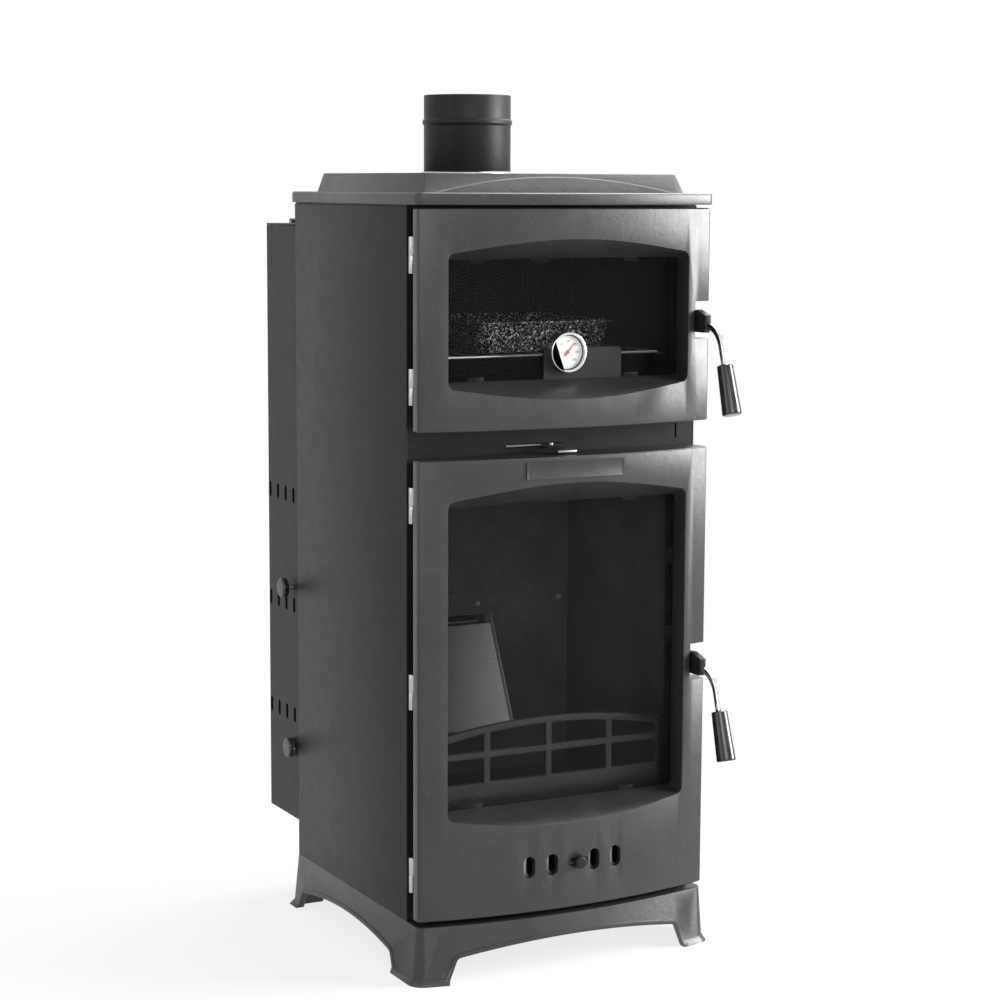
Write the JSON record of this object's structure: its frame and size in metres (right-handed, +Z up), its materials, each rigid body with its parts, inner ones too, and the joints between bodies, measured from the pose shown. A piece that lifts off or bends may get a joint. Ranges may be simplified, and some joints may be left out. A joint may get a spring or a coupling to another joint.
{
  "type": "pellet stove",
  "caption": "Free-standing stove with bowed cast front, glazed oven over a glazed fire chamber, hook-latched doors, rear pellet hopper, damper, air slide and flue outlet.",
  "frame": {"origin": "on the floor, under the middle of the whole stove with its handles and knobs", "axes": "+X to the viewer's right, +Y to the back, +Z up along the flue"},
  "size_m": [0.496, 0.6638, 1.245],
  "materials": {
    "cast": "satin heat-resistant paint on fine cast grain",
    "sheet": "satin dark grey powder coat",
    "black_sheet": "matt black heat-resistant paint",
    "bare_steel": "bare rolled steel",
    "bright_steel": "bright turned steel",
    "chrome": "polished",
    "grip": "glossy black",
    "glass": "clear heat-resistant glass ceramic",
    "lens": "clear",
    "dial": "white printed",
    "red": "red",
    "enamel": "speckled black and white enamel",
    "rope": "graphited glass-fibre rope",
    "lining": "sooted cast surface",
    "knob": "black"
  },
  "bodies": {
    "cabinet": {"base_casting": "cast", "side_panels": "sheet", "back_panel": "sheet", "front_frame": "black_sheet", "top_casting": "cast", "flue_pipe": "black_sheet", "flue_collar": "bright_steel", "oven_box": "black_sheet", "oven_shelf": "bare_steel", "baking_tray": "enamel", "side_linings": "lining", "lining_back_centre": "lining", "lining_back_sides": "lining", "lining_strip": "lining", "lining_screws": "bare_steel", "chamber_floor": "lining", "grate": "lining", "smoke_baffle": "lining", "log_fence": "cast", "chute_plate": "bare_steel", "feed_duct": "bare_steel", "hopper": "bare_steel", "lid_pins": "bright_steel", "rear_casing": "sheet", "frame_knuckles": "bright_steel", "hinge_pins": "bright_steel", "latch_catches": "black_sheet", "smoke_shelf": "black_sheet"},
    "oven_door": {"oven_door": "cast", "oven_glass": "glass", "oven_glass_clips": "bare_steel", "oven_door_seal": "rope", "oven_door_knuckles": "bright_steel", "notch_plate": "black_sheet", "thermometer_case": "chrome", "thermometer_dial": "dial", "thermometer_lens": "lens", "oven_handle_pin": "bright_steel"},
    "oven_needle": {"thermometer_needle": "red"},
    "oven_handle": {"oven_handle_hub": "black_sheet", "oven_handle_lever": "chrome", "oven_handle_grip": "grip"},
    "fire_door": {"fire_door": "cast", "fire_glass": "glass", "fire_glass_clips": "bare_steel", "fire_door_seal": "rope", "fire_door_knuckles": "bright_steel", "fire_handle_pin": "bright_steel"},
    "fire_handle": {"fire_handle_hub": "black_sheet", "fire_handle_lever": "chrome", "fire_handle_grip": "grip"},
    "air_slide": {"air_slide": "bare_steel", "air_slide_knob": "black_sheet"},
    "damper": {"damper_slide": "bare_steel"},
    "ash_drawer": {"ash_drawer": "bare_steel"},
    "pellet_gate": {"pellet_gate": "bare_steel", "gate_knob": "knob"},
    "air_shutter": {"air_shutter": "bare_steel", "air_shutter_knob": "knob"},
    "hopper_lid": {"hopper_lid": "sheet"}
  },
  "joints": [
    {"name": "oven_door_hinge", "type": "hinge", "parent": "cabinet", "child": "oven_door", "pos_m": [-0.223, -0.19214, 0.9295], "axis": [0, 0, -1], "range_deg": [0, 110]},
    {"name": "fire_door_hinge", "type": "hinge", "parent": "cabinet", "child": "fire_door", "pos_m": [-0.223, -0.19214, 0.414], "axis": [0, 0, -1], "range_deg": [0, 110]},
    {"name": "oven_handle_turn", "type": "hinge", "parent": "oven_door", "child": "oven_handle", "pos_m": [0.215, -0.21614, 0.922], "axis": [-1, 0, 0], "range_deg": [0, 45]},
    {"name": "fire_handle_turn", "type": "hinge", "parent": "fire_door", "child": "fire_handle", "pos_m": [0.215, -0.21614, 0.424], "axis": [-1, 0, 0], "range_deg": [0, 45]},
    {"name": "oven_needle_turn", "type": "hinge", "parent": "oven_door", "child": "oven_needle", "pos_m": [0.0135, -0.20514, 0.88], "axis": [0, 1, 0], "range_deg": [-177, 93], "stiffness_Nm_per_rad": 0.001},
    {"name": "air_slide_travel", "type": "slide", "parent": "fire_door", "child": "air_slide", "axis": [1, 0, 0], "range_m": [-0.009, 0.009]},
    {"name": "damper_travel", "type": "slide", "parent": "cabinet", "child": "damper", "axis": [-1, 0, 0], "range_m": [0, 0.06]},
    {"name": "ash_drawer_slide", "type": "slide", "parent": "cabinet", "child": "ash_drawer", "axis": [0, -1, 0], "range_m": [0, 0.135]},
    {"name": "pellet_gate_pull", "type": "slide", "parent": "cabinet", "child": "pellet_gate", "axis": [-1, 0, 0], "range_m": [-0.0105, 0.06]},
    {"name": "air_shutter_pull", "type": "slide", "parent": "cabinet", "child": "air_shutter", "axis": [-1, 0, 0], "range_m": [0, 0.06]},
    {"name": "hopper_lid_hinge", "type": "hinge", "parent": "cabinet", "child": "hopper_lid", "pos_m": [0.004, 0.32686, 1.055], "axis": [-1, 0, 0], "range_deg": [0, 100]}
  ],
  "couplings": [
    {"joint": "ash_drawer_slide", "follows": "fire_door_hinge", "m_per_rad": 0.07}
  ]
}
